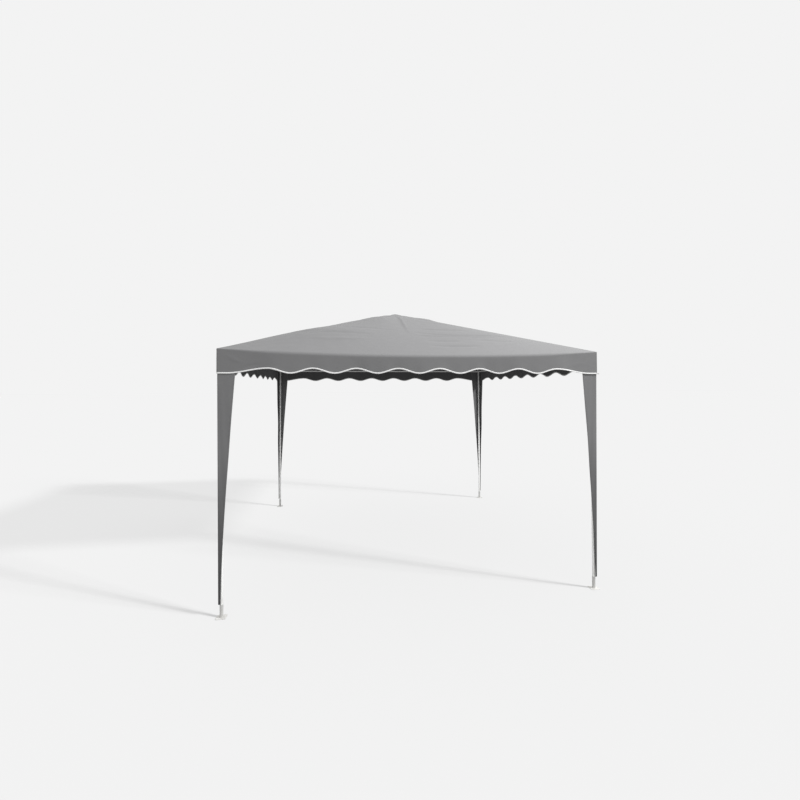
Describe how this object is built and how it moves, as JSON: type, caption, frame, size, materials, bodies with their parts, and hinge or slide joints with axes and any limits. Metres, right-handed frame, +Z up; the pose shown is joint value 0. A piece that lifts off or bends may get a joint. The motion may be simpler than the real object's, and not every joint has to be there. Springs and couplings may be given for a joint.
{
  "type": "garden pavilion",
  "caption": "Square slot-together pavilion: white tube frame, grey pyramid canopy with a scalloped, bound valance and tapered leg covers.",
  "frame": {"origin": "on the ground, under the peak", "axes": "+Z up; +X and +Y along the canopy's sides, +Y towards the back"},
  "size_m": [3, 3, 2.5],
  "materials": {
    "white_steel": "white powder coat, semi-gloss",
    "foot_steel": "white powder coat, scuffed",
    "fitting_steel": "white powder coat, semi-gloss",
    "spring_steel": "plain spring steel",
    "button_steel": "zinc plated",
    "cap_plastic": "matte moulded",
    "canopy_cloth": "matte woven polyester, grey",
    "valance_cloth": "matte woven polyester, grey",
    "binding_tape": "white woven tape",
    "cover_cloth": "matte woven polyester, grey"
  },
  "bodies": {
    "pavilion": {"foot_front_left": "foot_steel", "leg_lower_front_left": "white_steel", "leg_upper_front_left": "white_steel", "button_clip_front_left": "spring_steel", "corner_fitting_front_left": "fitting_steel", "leg_cover_front_left": "cover_cloth", "rafter_lower_front_left": "white_steel", "rafter_upper_front_left": "white_steel", "foot_front_right": "foot_steel", "leg_lower_front_right": "white_steel", "leg_upper_front_right": "white_steel", "button_clip_front_right": "spring_steel", "corner_fitting_front_right": "fitting_steel", "leg_cover_front_right": "cover_cloth", "rafter_lower_front_right": "white_steel", "rafter_upper_front_right": "white_steel", "foot_back_right": "foot_steel", "leg_lower_back_right": "white_steel", "leg_upper_back_right": "white_steel", "button_clip_back_right": "spring_steel", "corner_fitting_back_right": "fitting_steel", "leg_cover_back_right": "cover_cloth", "rafter_lower_back_right": "white_steel", "rafter_upper_back_right": "white_steel", "foot_back_left": "foot_steel", "leg_lower_back_left": "white_steel", "leg_upper_back_left": "white_steel", "button_clip_back_left": "spring_steel", "corner_fitting_back_left": "fitting_steel", "leg_cover_back_left": "cover_cloth", "rafter_lower_back_left": "white_steel", "rafter_upper_back_left": "white_steel", "roof_panel_front": "canopy_cloth", "valance_front": "valance_cloth", "binding_front": "binding_tape", "eave_tube_a_front": "white_steel", "eave_tube_b_front": "white_steel", "roof_panel_right": "canopy_cloth", "valance_right": "valance_cloth", "binding_right": "binding_tape", "eave_tube_a_right": "white_steel", "eave_tube_b_right": "white_steel", "roof_panel_back": "canopy_cloth", "valance_back": "valance_cloth", "binding_back": "binding_tape", "eave_tube_a_back": "white_steel", "eave_tube_b_back": "white_steel", "roof_panel_left": "canopy_cloth", "valance_left": "valance_cloth", "binding_left": "binding_tape", "eave_tube_a_left": "white_steel", "eave_tube_b_left": "white_steel", "peak_hub": "fitting_steel", "peak_cap": "cap_plastic"},
    "button_front_left": {"leg_button_front_left": "button_steel"},
    "button_front_right": {"leg_button_front_right": "button_steel"},
    "button_back_right": {"leg_button_back_right": "button_steel"},
    "button_back_left": {"leg_button_back_left": "button_steel"}
  },
  "joints": [
    {"name": "button_press_front_left", "type": "slide", "parent": "pavilion", "child": "button_front_left", "axis": [-0.7071, -0.7071, 0], "range_m": [0, 0.0045], "stiffness_N_per_m": 600, "springref_m": -0.002, "deforming": ["button_clip_front_left"]},
    {"name": "button_press_front_right", "type": "slide", "parent": "pavilion", "child": "button_front_right", "axis": [0.7071, -0.7071, 0], "range_m": [0, 0.0045], "stiffness_N_per_m": 600, "springref_m": -0.002, "deforming": ["button_clip_front_right"]},
    {"name": "button_press_back_right", "type": "slide", "parent": "pavilion", "child": "button_back_right", "axis": [0.7071, 0.7071, 0], "range_m": [0, 0.0045], "stiffness_N_per_m": 600, "springref_m": -0.002, "deforming": ["button_clip_back_right"]},
    {"name": "button_press_back_left", "type": "slide", "parent": "pavilion", "child": "button_back_left", "axis": [-0.7071, 0.7071, 0], "range_m": [0, 0.0045], "stiffness_N_per_m": 600, "springref_m": -0.002, "deforming": ["button_clip_back_left"]}
  ]
}
